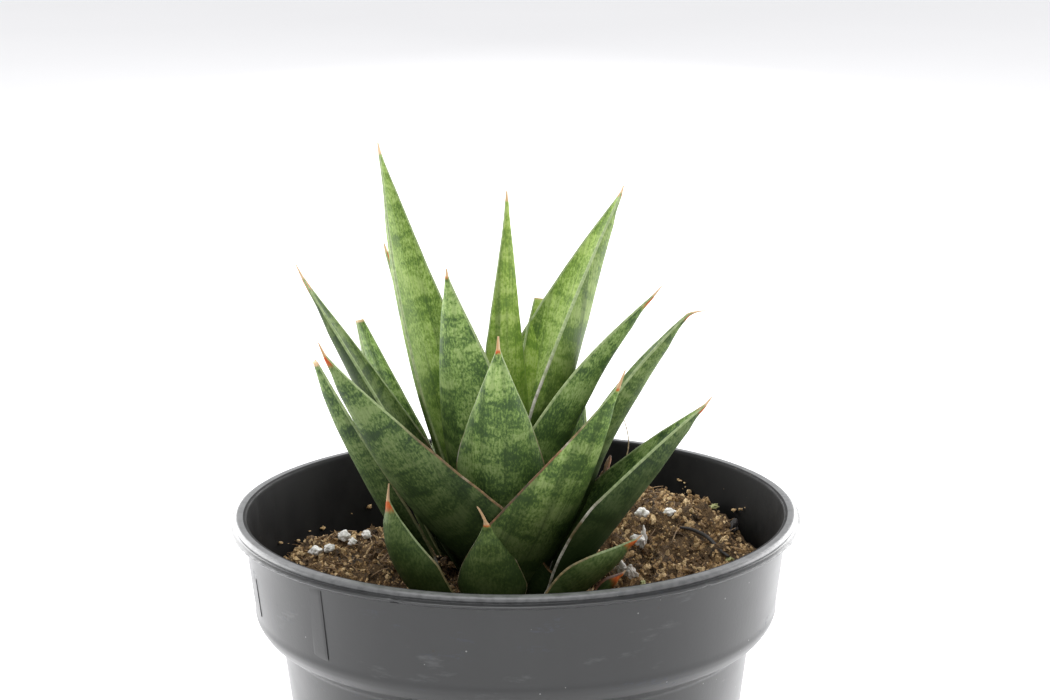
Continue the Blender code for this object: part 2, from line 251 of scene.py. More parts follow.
def margin_finish():
    """Hard leaf edge: red-brown and papery on old leaves, a pale line on young ones."""
    made = Finish("horny_margin")
    where = made.blade_map()
    lengthwise = made.grain(where, (60.0, 9.0, 1.0), (2, 8, 0), detail=2.5)
    flecks = made.grain(where, (0.5, 1.2, 1.0), detail=3.0, rough=0.65)
    pale = made.ramp(flecks, ((0.35, (0.17, 0.24, 0.08)), (0.7, (0.36, 0.43, 0.22))))
    rust = made.ramp(made.weigh((lengthwise, 0.5), (flecks, 0.5)),
                     ((0.36, (0.034, 0.018, 0.010)), (0.50, (0.120, 0.042, 0.016)),
                      (0.64, (0.24, 0.105, 0.035))))
    paper = made.ramp(flecks, ((0.35, (0.20, 0.19, 0.14)), (0.65, (0.50, 0.49, 0.42))))
    past_rust = made.sum("SUBTRACT", made.grade("foot_share"), made.grade("rust_to"))
    reddened = made.fade(made.sum("MULTIPLY_ADD", lengthwise, 0.3, past_rust), 0.25, 0.10)
    # Painted shade: the pale margin darkens towards the soil, as the blade does.
    pale = made.blend(made.fade(made.grade("rise_mm"), 44.0, 2.0, 0.0, 0.6), pale, (0.05, 0.07, 0.03))
    edge = made.blend(made.times(made.grade("rust"), reddened), pale, rust)
    bare = made.fade(made.sum("MULTIPLY_ADD", made.grade("paper"), 0.30, lengthwise), 0.64, 0.74)
    edge = made.blend(made.times(bare, reddened), edge, paper)
    tip_zone = made.sum("SUBTRACT", made.grade("tip_mm"), made.grade("straw"))
    edge = made.blend(made.fade(tip_zone, 0.4, -0.4), edge, (0.60, 0.40, 0.24))
    made.wear("Base Color", edge)
    made.wear("Roughness", made.fade(flecks, 0.3, 0.7, 0.45, 0.75))
    made.relief(flecks, 0.5, 0.2)
    return made.material


def pot_finish(name, tone=1.0):
    """Satin grey polypropylene: faint flow marks, scuffs from rubbing, dust and soil specks; the flange
    top is painted lighter as painted light, and a tone below 1 makes a darker copy as painted shade.
    """
    made = Finish(name, Specular_IOR_Level=0.42, Coat_Weight=0.30, Coat_Roughness=0.26)
    where = made.place()
    cloud = made.grain(where, (26.0, 26.0, 16.0), detail=3.0)
    flow = made.grain(where, (9.0, 9.0, 70.0), detail=3.0)
    body = made.ramp(made.weigh((cloud, 0.6), (flow, 0.4)),
                     ((0.3, (0.015, 0.0155, 0.0158)), (0.7, (0.021, 0.0218, 0.0222))), tone)
    rub_zone = made.fade(made.grain(where, (22.0, 22.0, 5.0), (4.3, 1.2, 9.1),
                                    detail=4.0, rough=0.6, twist=0.6), 0.58, 0.68)
    rub_grain = made.grain(where, (1.3, 1.3, 0.5), detail=3.0)
    rub = made.times(rub_zone, made.fade(rub_grain, 0.45, 0.62))
    bloom = made.fade(made.grain(where, (14.0, 14.0, 3.5), (1.7, 6.0, 2.0), detail=5.0, rough=0.65),
                      0.60, 0.78, 0.0, 0.25)
    dirt = made.times(made.fade(made.cells(where, 5.5), 0.075, 0.045), 0.8)
    motes = made.times(made.fade(made.cells(where, 4.1, (3, 3, 3)), 0.05, 0.03), 0.5)
    height_mm = made.add("ShaderNodeSeparateXYZ", {0: where}, out=2)
    # The flange's top face is painted lighter in a patchy grain: painted light falling from above.
    on_flange = made.fade(height_mm, RIM_TOP - 1.5, RIM_TOP - 0.6)
    painted_flange_light = made.fade(made.grain(where, 1.6, detail=4.0), 0.30, 0.62, 0.45, 0.95)
    made.wear("Base Color", made.layers(
        body, (made.times(rub, 0.65), (0.026, 0.030, 0.045)), (bloom, (0.16, 0.165, 0.17)),
        (dirt, (0.020, 0.016, 0.012)), (motes, (0.30, 0.30, 0.29)),
        (made.times(on_flange, painted_flange_light), (0.088, 0.090, 0.091))))
    satin = made.sum("MULTIPLY_ADD", rub, 0.14, made.fade(cloud, 0.3, 0.7, 0.30, 0.38))
    made.wear("Roughness", satin)
    orange_peel = made.grain(where, 0.7, detail=2.0)
    height = made.sum("MULTIPLY_ADD", flow, 2.0, orange_peel)
    made.relief(made.sum("MULTIPLY_ADD", rub, 0.8, height), 0.10, 0.12)
    return made.material


def inner_wall_finish():
    """The same plastic on the inside, matt and painted near black as painted shade, with a thin coat of
    dried peat.
    """
    made = Finish("inner_wall_painted_shade", Specular_IOR_Level=0.12)
    where = made.place()
    stain_and_shade_grain = made.grain(where, (7.0, 7.0, 12.0), detail=5.0, rough=0.7)
    # Near-black ramp: painted shade inside the pot, patchy with the grain of dried peat.
    wall = made.ramp(stain_and_shade_grain, ((0.40, (0.0045, 0.0045, 0.0047)), (0.72, (0.010, 0.0096, 0.0092))))
    specks = made.fade(made.cells(where, 3.3), 0.07, 0.04)
    wall = made.blend(made.times(specks, 0.6), wall, (0.10, 0.075, 0.045))
    made.wear("Base Color", wall)
    made.wear("Roughness", made.fade(stain_and_shade_grain, 0.3, 0.7, 0.46, 0.62))
    made.relief(stain_and_shade_grain, 0.15, 0.3)
    return made.material


def peat_finish(name, light):
    """Damp peat and coir: brown crumbs and pale tan bits, near black in the relief's hollows as painted
    shade over the dark peat; light makes a lighter or darker copy.
    """
    made = Finish(name, Specular_IOR_Level=0.25)
    where = made.place()
    coarse = made.grain(where, 2.4, detail=4.0, rough=0.65)
    fine = made.grain(where, 0.35, detail=3.0, rough=0.6)
    mix = made.weigh((coarse, 0.55), (fine, 0.45))
    mix = made.sum("MULTIPLY_ADD", made.grade("tint"), 0.40, made.sum("SUBTRACT", mix, 0.19))
    # The dark end of the ramp follows the low parts of the relief: painted shade in the hollows.
    peat = made.ramp(mix, ((0.28, (0.018, 0.012, 0.007)), (0.42, (0.110, 0.066, 0.032)),
                           (0.56, (0.280, 0.180, 0.085)), (0.76, (0.53, 0.40, 0.23))), light)
    made.wear("Base Color", peat)
    made.wear("Roughness", made.fade(coarse, 0.3, 0.7, 0.72, 0.95))
    made.relief(made.sum("MULTIPLY_ADD", coarse, 1.5, fine), 0.8, 0.5)
    return made.material


def flat_bit_finish(name, dark, pale, grain_mm, depth=0.3):
    """Small dry or mineral bits: two tones over a fine grain."""
    made = Finish(name)
    where = made.place()
    grain = made.grain(where, grain_mm, detail=4.0, rough=0.65)
    made.wear("Base Color", made.ramp(grain, ((0.32, dark), (0.62, pale))))
    made.wear("Roughness", made.fade(grain, 0.3, 0.7, 0.6, 0.85))
    made.relief(grain, 0.6, depth)
    return made.material


# ------------------------------------------------------------------ making pieces
def linked(name, data):
    """An object in the studio, at the origin."""
    item = bpy.data.objects.new(name, data)
    STUDIO.objects.link(item)
    return item


def evaluated(item):
    """A plain mesh of an object as its modifiers leave it."""
    seen = bpy.context.evaluated_depsgraph_get()
    return bpy.data.meshes.new_from_object(item.evaluated_get(seen))


def piece_from(name, mesh, finishes, replaced=()):
    """Link a finished mesh, already in metres, and tell the frame what it is."""
    item = linked(name, mesh)
    for finish in finishes:
        mesh.materials.append(finish)
    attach(item, "root")
    if replaced:
        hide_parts(*replaced)
    return item


def mesh_from(name, points, faces):
    """Mesh in metres from points in millimetres."""
    mesh = bpy.data.meshes.new(name)
    mesh.from_pydata([tuple(MM * value for value in point) for point in points], [], faces)
    mesh.update()
    mesh.shade_smooth()
    return mesh


def between_rings(rings, around, first=0):
    """Quads joining each ring of points to the next."""
    quads = []
    for ring in range(rings - 1):
        low, high = first + ring * around, first + (ring + 1) * around
        for k in range(around):
            after = (k + 1) % around
            quads.append((low + k, low + after, high + after, high + k))
    return quads


def settled(bm, mesh, outwards=False):
    """Write the working mesh bm into mesh, its faces turned outwards if asked, and free it."""
    if outwards:
        bmesh.ops.recalc_face_normals(bm, faces=bm.faces)
    bm.to_mesh(mesh)
    bm.free()
    return mesh


def outward(mesh):
    """Merge doubles and turn every face outwards."""
    bm = bmesh.new()
    bm.from_mesh(mesh)
    bmesh.ops.remove_doubles(bm, verts=bm.verts, dist=1e-7)
    return settled(bm, mesh, outwards=True)


def heading_vector(degrees):
    return Vector((sin(radians(degrees)), -cos(radians(degrees)), 0.0))


def soil_height(x, y):
    """The soil's mean surface over the pot's underside, mm."""
    height = SOIL_LEVEL
    for mound_x, mound_y, rise, spread in SOIL_MOUNDS:
        height += rise * exp(-((x - mound_x) ** 2 + (y - mound_y) ** 2) / (2 * spread ** 2))
    return height


def swell(x, y, z=0.0, size=1.0):
    return noise.noise(Vector((x / size, y / size, z / size)))


# ------------------------------------------------------------------ leaves
PLAIN_LEAF = dict(arch=0.0, width=16.0, wide_at=0.35, foot=0.6, taper=1.5, cup=(60, 40), roll=(0, 0),
                  thickness=2.6, kept=1.0, youth=0.0, ember=3.0, straw=1.2, rust=0.6, rust_to=0.5,
                  paper=0.1, edge=0.2, hook=(0, 0, 0), shade=0.0, under=0.0, open_air=1.0)


def leaf(name, tip, root, **traits):
    """One leaf, in mm and degrees. A trait that isn't given is a plain leaf's.

    tip is its heading, its reach from the crown's middle and its height over the soil; root is
    the heading and reach of its foot. arch bows it, as a share of its length. It is widest at
    the share wide_at of its length and narrows to the share foot of its width at the bottom; a
    larger taper leaves it full for longer. cup and roll are its channel and its turn, at foot
    and tip. kept under 1 is a leaf that has lost its tip.
    youth goes from old dark green to new yellow-green; ember and straw are the lengths of the
    red and the dry end; rust and paper say how red and how papery the margin is, up to the
    share rust_to of the leaf, and edge how wide; hook moves the very tip right, back and up.
    shade, under and open_air give painted shade: shade deepens the whole leaf, under its outer face, and
    open_air over 1 lifts the painted shade off its low part.
    """
    return dict(PLAIN_LEAF, name=name, tip=tip, root=root, **traits)


LEAVES = (
    # innermost, nearly upright
    leaf("centre_spear_leaf", (25, 1.5, 82.5), (90, 0.3), width=13, wide_at=0.3, foot=0.5,
         taper=1.1, cup=(50, 35), thickness=2.0, youth=1.0, ember=0.1, straw=2.0, rust=0.0),
    leaf("tall_left_leaf", (228, 36.5, 89), (235, 5), arch=0.03, width=16, wide_at=0.45,
         foot=0.35, taper=1.25, cup=(65, 45), youth=0.55, ember=0.6, straw=2.6, rust=0.1,
         shade=0.12),
    leaf("tall_right_leaf", (124, 30.5, 80.5), (132, 5), arch=-0.03, width=31.5,
         wide_at=0.42, foot=0.3, taper=1.15, cup=(68, 56), roll=(-21, -18), youth=0.7, under=0.3,
         ember=1.6, straw=1.6, rust=0.0, paper=0.9, edge=0.3),
    leaf("inner_left_leaf", (300, 13.5, 67.5), (338, 5.5), arch=0.03, width=20,
         wide_at=0.4, foot=0.5, cup=(60, 45), roll=(20, 20), youth=0.15, ember=1.0, straw=1.6,
         rust=0.0, paper=0.9, edge=0.3),
    leaf("front_leaf", (356, 16.5, 55.5), (355, 9), arch=0.09, width=17.6, wide_at=0.52,
         foot=-0.2, taper=1.3, cup=(60, 45), youth=0.12, ember=1.3, straw=2.6, rust=0.8, rust_to=0.6,
         paper=0.3, edge=0.22),
    leaf("back_sliver_leaf", (160, 22, 55.5), (168, 9), width=8, kept=0.88, youth=1.0,
         ember=0.4, straw=0.2),
    # middle ring, leaning out
    leaf("upper_right_leaf", (88, 32.5, 62.5), (40, 7), arch=-0.085, width=25, wide_at=0.35,
         foot=0.5, taper=1.3, cup=(55, 45), roll=(-14, -8), youth=0.15, ember=3.5, straw=2.6,
         rust=0.1, shade=0.1),
    leaf("mid_right_leaf", (82, 40, 59.8), (90, 12), arch=-0.065, width=18, foot=0.4,
         cup=(60, 45), youth=0.25, under=0.3, ember=2.6, straw=2.2, rust=0.2, hook=(1.8, 0, -1.6),
         shade=0.15),
    leaf("front_right_leaf", (45, 34, 50.3), (8, 14.5), arch=0.02, width=24.5,
         wide_at=0.24, foot=0.8, taper=1.15, cup=(60, 45), youth=0.25, ember=1.2, straw=4.0,
         rust=0.9, rust_to=0.75, paper=0.0, edge=0.18, open_air=1.3),
    leaf("low_right_leaf", (75, 43.8, 41.5), (38, 17.5), arch=-0.012, width=22.5, wide_at=0.4,
         foot=0.4, taper=1.25, cup=(64, 52), roll=(9, 8), ember=2.6, straw=2.2, rust=0.7,
         rust_to=0.4, paper=0.8, under=0.5),
    leaf("upper_left_leaf", (265, 43.5, 66.5), (262, 9), width=16.5, foot=0.35,
         taper=1.3, cup=(60, 45), youth=0.25, ember=3.4, straw=3.4, rust=0.6, rust_to=0.4,
         shade=0.50, under=0.25),
    leaf("behind_left_leaf", (235, 39, 50.5), (244, 14), arch=0.02, width=12, foot=0.35,
         kept=0.92, ember=0.5, straw=0.5, rust=0.2, youth=0.2),
    leaf("behind_tall_left_leaf", (224, 38, 66.5), (214, 9.5), width=6, foot=0.5,
         cup=(60, 45), youth=0.4, ember=5.0, straw=2.0, rust=0.3),
    leaf("front_left_leaf", (300, 42.5, 55.5), (6, 12), arch=0.05, width=25,
         wide_at=0.28, foot=0.72, taper=1.4, cup=(55, 45), roll=(18, 10), ember=2.8, straw=3.0,
         rust=0.8, rust_to=0.60, paper=0.2, edge=0.18, shade=0.42),
    leaf("low_left_leaf", (285, 40, 49), (290, 16.5), arch=0.02, width=13.5, kept=0.92,
         ember=0.4, straw=0.7, rust=0.4, shade=0.28),
    # the far side of the rosette
    leaf("back_leaf", (181, 24, 44), (178, 14), width=12, foot=0.35),
    leaf("back_right_leaf", (143, 28, 37), (130, 15), width=12, foot=0.35),
    leaf("back_left_leaf", (206, 36, 36), (202, 19), width=14, foot=0.35),
    leaf("low_back_leaf", (166, 36, 27), (168, 20), width=13, foot=0.4),
    leaf("low_back_right_leaf", (130, 25, 20), (132, 20), width=12, foot=0.4),
    # short outer leaves round the foot
    leaf("short_front_leaf", (351, 22.5, 23.2), (352.5, 22), arch=0.03, width=14,
         wide_at=0.2, foot=0.85, taper=1.35, cup=(50, 40), ember=1.0, straw=5.0, rust=0.6,
         rust_to=0.6, paper=0.5, edge=0.12, hook=(-2.4, 0, -1.0), youth=0.3, shade=0.20,
         open_air=1.7),
    leaf("short_left_leaf", (301.5, 27.8, 24.4), (318, 23), arch=0.13, width=15,
         wide_at=0.3, foot=0.8, taper=1.4, ember=2.6, straw=3.2, rust=0.5,
         rust_to=0.4, paper=0.0, edge=0.10, youth=0.3, shade=0.32,
         open_air=1.5),
    leaf("short_right_leaf", (59, 32.5, 13.8), (22, 25), width=13.5, taper=1.35,
         ember=3.2, straw=1.4, rust=0.6, rust_to=0.5, paper=0.0, edge=0.12,
         youth=0.3, shade=0.26, open_air=1.8),
    leaf("small_right_leaf", (62, 28, 5), (46, 25), width=5, thickness=1.6, ember=4.0,
         straw=0.8, rust=1.0, rust_to=1.0),
)
BRACT = leaf("dried_bract", (100, 22.5, 25), (104, 17), width=6, thickness=1.6, straw=0.0,
             ember=0.1)

# A seed for each leaf moves its waves and its mottling
for number, row in enumerate((*LEAVES, BRACT), 1):
    row["seed"] = number

STATIONS = 96                   # cross-sections along a leaf
PANELS = 22                     # across each face
BEAD = 3                        # points round the margin between the two faces
FOOT_IN_SOIL = 5.0              # mm of leaf below the surface
SPINE_RADIUS = 0.35
MARGIN_THICKNESS = 0.45
NECK = 0.3                      # least share of the width, where a leaf narrows at its foot
STEM_REACH = 6.4                # leaves that start nearer than this stand on the crown stem
STEM_TOP = 2.9                  # mm of the crown stem over the soil
INNER_SHARE = 0.4               # share of the thickness on the inner side of the arc
OUTER_MAP = 61.0                # mm between the maps of a leaf's two faces
LEAF_MAP = 31.0                 # mm between the maps of two leaves


def blade_share(place, spec):
    """Half width at a place along the blade, as a share of the widest half width."""
    wide_at, foot = spec["wide_at"], spec["foot"]
    if place < wide_at:
        return max(NECK, foot + (1.0 - foot) * sin(0.5 * pi * max(place, 0.0) / wide_at))
    return 1.0 - ((place - wide_at) / (1.0 - wide_at)) ** spec["taper"]


def midrib(spec):
    """Quadratic curve of the midrib as three control points, mm."""
    crown = Vector((CROWN.x, CROWN.y, 0.0))
    root_heading, root_reach = spec["root"]
    heading, reach, height = spec["tip"]
    start = crown + heading_vector(root_heading) * root_reach
    if root_reach < STEM_REACH:
        start.z = soil_height(CROWN.x, CROWN.y) + STEM_TOP
    else:
        start.z = soil_height(start.x, start.y) + 0.5
    out = heading_vector(heading)
    side = Vector((-out.y, out.x, 0.0))
    end = crown + out * reach
    end.z = SOIL_LEVEL + height
    chord = end - start
    outwards = side.cross(chord).normalized()
    if outwards.dot(out) < 0.0:
        outwards = -outwards
    middle = (start + end) / 2.0 + outwards * (2.0 * spec["arch"] * chord.length)
    return start, middle, end


def angle_at(pair, place):
    """Angle at a place along a leaf, from the pair at its foot and its tip."""
    return radians(pair[0] + (pair[1] - pair[0]) * place)


def leaf_section(centre, along, spec, place, spine, blade_end):
    """Ring of (point, across mm, face) round the leaf: inner face, bead, outer face, bead."""
    out = heading_vector(spec["tip"][0])
    side = Vector((-out.y, out.x, 0.0))
    inward = along.cross(side).normalized()
    across = inward.cross(along).normalized()
    turn = angle_at(spec["roll"], place)
    across, inward = (across * cos(turn) + inward * sin(turn),
                      inward * cos(turn) - across * sin(turn))
    cup = angle_at(spec["cup"], place)
    share = blade_share(min(1.0, place * spec["kept"] / blade_end), spec)
    half = hypot(0.5 * spec["width"] * share, spine)
    thick = max(min(spec["thickness"], 0.9 * half) * min(1.0, 0.35 + share), 2 * spine)
    rim = MARGIN_THICKNESS * min(1.0, 0.4 + share)
    band = min(spec["edge"] / half, 0.3)
    marks = [-1.0] + [(1.0 - band) * (2.0 * k / (PANELS - 2) - 1.0) for k in range(PANELS - 1)] + [1.0]

    def face_point(s):
        """Arc, normal and thickness at s, from -1 at one margin to 1 at the other."""
        angle = cup * s
        normal = inward * cos(angle) - across * sin(angle)
        arc = centre + across * (half * sin(angle) / sin(cup)) \
            + inward * (half * (1.0 - cos(angle)) / sin(cup))
        return arc, normal, rim + (thick - rim) * (1.0 - s * s)

    ring = []
    for s in marks:
        arc, normal, depth = face_point(s)
        groove = 0.10 * min(1.0, half / 4.0) * exp(-(s / 0.16) ** 2)
        ring.append((arc + normal * (INNER_SHARE * depth - groove), s * half, 0.0))
    for end in (1.0, -1.0):
        arc, normal, depth = face_point(end)
        tangent = across * (end * cos(cup)) + inward * sin(cup)
        first = (INNER_SHARE if end > 0 else INNER_SHARE - 1.0) * depth
        for k in range(1, BEAD + 1):
            swing = pi * k / (BEAD + 1)
            level = first - end * depth * (1.0 - cos(swing)) / 2.0
            ring.append((arc + normal * level + tangent * (0.45 * depth * sin(swing)),
                         end * half, 0.5))
        if end > 0:
            for s in reversed(marks):
                arc, normal, depth = face_point(s)
                ring.append((arc - normal * ((1.0 - INNER_SHARE) * depth), s * half, 1.0))
    return ring


def leaf_mesh(spec):
    """Loft the leaf at full detail, with its maps for the finish."""
    start, middle, end = midrib(spec)
    length = (end - start).length
    below = -FOOT_IN_SOIL / length
    whole = spec["kept"] == 1.0
    blade_end = 1.0 - 0.85 * spec["straw"] / length if whole else 1.0
    points, across, alongs = [], [], []
    grades = {"outer": [], "tip_mm": [], "foot_share": []}
    seed = spec["seed"] * 7.31
    for station in range(STATIONS):
        run = station / (STATIONS - 1)
        t = below + (1.0 - below) * (1.0 - (1.0 - run) ** 1.3)
        if t > 0.0:
            centre = start * (1 - t) ** 2 + middle * (2 * t * (1 - t)) + end * t ** 2
            along = ((middle - start) * (1 - t) + (end - middle) * t).normalized()
        else:
            along = (middle - start).normalized()
            centre = start + along * (t * length)
        left = (1.0 - t) * length
        near_tip = min(1.0, left / 10.0)
        centre = centre + 0.35 * min(1.0, left / 12.0) * Vector(
            [swell(t * 3.1, seed + shift) for shift in (0, 20, 40)])
        bend = max(0.0, 1.0 - left / (1.3 * spec["straw"] + 0.6)) ** 1.6
        centre = centre + Vector(spec["hook"]) * bend
        spine = SPINE_RADIUS
        if whole:
            spine *= 0.25 + 0.75 * min(1.0, left / (0.5 + spec["straw"]))
        ring = leaf_section(centre, along, spec, max(t, 0.0), spine, blade_end)
        for point, offset, face in ring:
            near_edge = (abs(offset) / (0.5 * spec["width"])) ** 2
            wave = 0.22 * near_tip * near_edge * noise.noise(
                Vector((t * length / 4.0, seed + (offset > 0), 0)))
            ripple = 0.05 * near_tip * noise.noise(
                Vector((offset / 1.3 + seed, t * length / 9.0, face * 5)))
            points.append(point + (point - centre).normalized() * (wave + ripple))
            across.append(offset)
            alongs.append(t * length)
            grades["outer"].append(face)
            grades["tip_mm"].append(left)
            grades["foot_share"].append(max(t, 0.0))

    faces, kinds, uvs = [], [], []

    def lay(corners, kind, shift=0.0):
        """Keep a face with its material and its place on the leaf's map."""
        faces.append(corners)
        kinds.append(kind)
        for corner in corners:
            uvs.extend((across[corner] + LEAF_MAP * spec["seed"], alongs[corner] + shift + seed))

    count = len(points) // STATIONS
    first_outer = PANELS + BEAD + 1
    blade = {*range(1, PANELS - 1), *range(first_outer + 1, first_outer + PANELS - 1)}
    for corners in between_rings(STATIONS, count):
        index = corners[0] % count
        lay(corners, 0 if index in blade else 1, 0.0 if index < PANELS else OUTER_MAP)
    for cap in (range(count - 1, -1, -1), range((STATIONS - 1) * count, STATIONS * count)):
        hub = len(points)
        points.append(sum((points[k] for k in cap), Vector()) / count)
        across.append(0.0)
        alongs.append(alongs[cap[0]])
        grades["outer"].append(0.5)
        for name in ("tip_mm", "foot_share"):
            grades[name].append(grades[name][cap[0]])
        for k in range(count):
            lay((cap[k], cap[(k + 1) % count], hub), 0)

    mesh = mesh_from(spec["name"] + "_blade", points, faces)
    mesh.polygons.foreach_set("material_index", kinds)
    mesh.uv_layers.new(name="blade").uv.foreach_set("vector", uvs)
    # Height over the soil, stretched on leaves that stand clear: it sets the painted shade near the soil
    # and the weaker reflections low down.
    grades["rise_mm"] = [(point.z - SOIL_LEVEL) * spec["open_air"] for point in points]
    for name in ("youth", "ember", "straw", "rust", "rust_to", "paper", "shade", "under"):
        grades[name] = [spec[name]] * len(points)
    for name, values in grades.items():
        mesh.attributes.new(name, "FLOAT", "POINT").data.foreach_set("value", values)
    bm = bmesh.new()
    bm.from_mesh(mesh)
    return settled(bm, mesh, outwards=True)


def grow_leaves():
    blade, margin = leaf_finish(), margin_finish()
    for spec in LEAVES:
        piece_from(spec["name"] + "_blade", leaf_mesh(spec), (blade, margin),
                   (spec["name"],))


def dry_bract():
    """Shrivelled bract behind the right-hand leaves."""
    dry = flat_bit_finish("shrivelled_bract", (0.060, 0.022, 0.012), (0.36, 0.19, 0.11), 1.2)
    mesh = leaf_mesh(BRACT)
    bm = bmesh.new()
    bm.from_mesh(mesh)
    for vert in bm.verts:
        wrinkle = noise.noise(vert.co / MM / 1.1) * 0.35 + noise.noise(vert.co / MM / 0.4) * 0.12
        vert.co += vert.normal * wrinkle * MM
    settled(bm, mesh)
    mesh.polygons.foreach_set("material_index", [0] * len(mesh.polygons))
    piece_from("shrivelled_bract", mesh, (dry,), ("dried_bract",))


# ------------------------------------------------------------------ pot
def eased(outline, radius):
    """Round each corner of an open (radius, height) outline."""
    path = [Vector(point) for point in outline]
    eased_path = [path[0]]
    for before, corner, after in zip(path, path[1:], path[2:]):
        back, ahead = before - corner, after - corner
        reach_back = min(radius, 0.4 * back.length)
        reach_ahead = min(radius, 0.4 * ahead.length)
        first = corner + back.normalized() * reach_back
        last = corner + ahead.normalized() * reach_ahead
        for k in range(4):
            t = k / 3.0
            eased_path.append(first * (1 - t) ** 2 + corner * (2 * t * (1 - t)) + last * t ** 2)
    eased_path.append(path[-1])
    return eased_path


def pot_outline():
    """(radius, height) from the underside's middle, up the outside and down the inside."""
    top = RIM_TOP
    return (
        (0.0, 1.0), (BASE_RADIUS - 7.0, 1.0), (BASE_RADIUS - 6.0, 0.0), (BASE_RADIUS - 0.8, 0.0),
        (BASE_RADIUS, 0.8),
        (BODY_RADIUS, top - SHOULDER_DEPTH), (BODY_RADIUS + 1.4, top - SHOULDER_DEPTH + 1.2),
        (COLLAR_RADIUS - 1.6, top - COLLAR_DEPTH - 3.6), (COLLAR_RADIUS - 0.4, top - COLLAR_DEPTH - 1.8),
        (COLLAR_RADIUS + 0.1, top - COLLAR_DEPTH - 0.5), (COLLAR_RADIUS, top - COLLAR_DEPTH + 0.6),
        (COLLAR_TOP_RADIUS, top - RIM_DEPTH), (RIM_RADIUS - 0.7, top - 2.35), (RIM_RADIUS, top - 1.75),
        (RIM_RADIUS - 0.05, top - 1.50), (RIM_RADIUS - 1.2, top - 1.25), (RIM_RADIUS - 0.8, top - 0.65),
        (RIM_RADIUS - 1.3, top), (RIM_RADIUS - 3.4, top), (RIM_RADIUS - 3.65, top - 0.4),
        (COLLAR_RADIUS - WALL, top - COLLAR_DEPTH),
        (COLLAR_RADIUS - WALL - 0.6, top - COLLAR_DEPTH - 1.8),
        (BODY_RADIUS - WALL + 1.0, top - SHOULDER_DEPTH + 1.4),
        (BODY_RADIUS - WALL, top - SHOULDER_DEPTH),
        (BASE_RADIUS - WALL, FLOOR_TOP), (0.0, FLOOR_TOP),
    )


def turned_pot():
    """Thin-walled pot with a ragged moulding flash round the rim's widest line."""
    outline = eased(pot_outline(), 0.5)
    points = []
    rows = outline[1:-1]
    for radius, height in rows:
        for k in range(POT_SEGMENTS):
            angle = 2 * pi * k / POT_SEGMENTS
            spread = radius
            if radius > RIM_RADIUS - 0.45 and height < RIM_TOP - 1.0:
                ragged = swell(angle * 9.0, 1.0) + swell(angle * 31.0, 4.0)
                nick = max(0.0, swell(angle * 14.0, 9.0) - 0.32)
                spread += 0.13 * ragged - 1.1 * nick
            spread += 0.12 * sin(2 * angle + 0.7) + 0.05 * sin(5 * angle)
            points.append((spread * cos(angle), spread * sin(angle), height))
    faces = between_rings(len(rows), POT_SEGMENTS)
    for row, height in ((0, outline[0][1]), (len(rows) - 1, outline[-1][1])):
        hub = len(points)
        points.append((0.0, 0.0, height))
        for k in range(POT_SEGMENTS):
            pair = (row * POT_SEGMENTS + k, row * POT_SEGMENTS + (k + 1) % POT_SEGMENTS)
            faces.append((*(pair if row else pair[::-1]), hub))
    return outward(mesh_from("nursery_pot", points, faces))


def make_pot():
    """Turned shell with its drain holes cut, its inner faces in the matt finish painted near black as
    painted shade.
    """
    shell = linked("pot_shell", turned_pot())
    cutters = bmesh.new()
    for index in range(DRAIN_HOLES):
        spot = Matrix.Rotation(2 * pi * index / DRAIN_HOLES, 4, "Z") @ Matrix.Translation(
            (DRAIN_CIRCLE * MM, 0.0, 1.0 * MM))
        bmesh.ops.create_cone(cutters, cap_ends=True, segments=40, radius1=DRAIN_RADIUS * MM,
                              radius2=DRAIN_RADIUS * MM, depth=8.0 * MM, matrix=spot)
    drill = linked("drain_drill", settled(cutters, bpy.data.meshes.new("drain_drill")))
    cut = shell.modifiers.new("drain_holes", "BOOLEAN")
    cut.object = drill
    cut.solver = "EXACT"
    mesh = evaluated(shell)
    for item in (shell, drill):
        bpy.data.objects.remove(item, do_unlink=True)
    mesh.shade_smooth()
    mesh.set_sharp_from_angle(angle=radians(50))
    mesh.materials.clear()
    inner = [1 if face.normal.to_2d().dot(face.center.to_2d()) < -1e-6
             or (abs(face.normal.z) > 0.9 and 1.5 * MM < face.center.z < 4 * MM) else 0
             for face in mesh.polygons]
    mesh.polygons.foreach_set("material_index", inner)
    piece_from("nursery_pot", mesh, (pot_finish("satin_grey_plastic"), inner_wall_finish()),
               ("grow_pot",))


def collar_radius_at(height):
    rise = (height - (RIM_TOP - COLLAR_DEPTH)) / (COLLAR_DEPTH - RIM_DEPTH)
    return COLLAR_RADIUS + (COLLAR_TOP_RADIUS - COLLAR_RADIUS) * rise


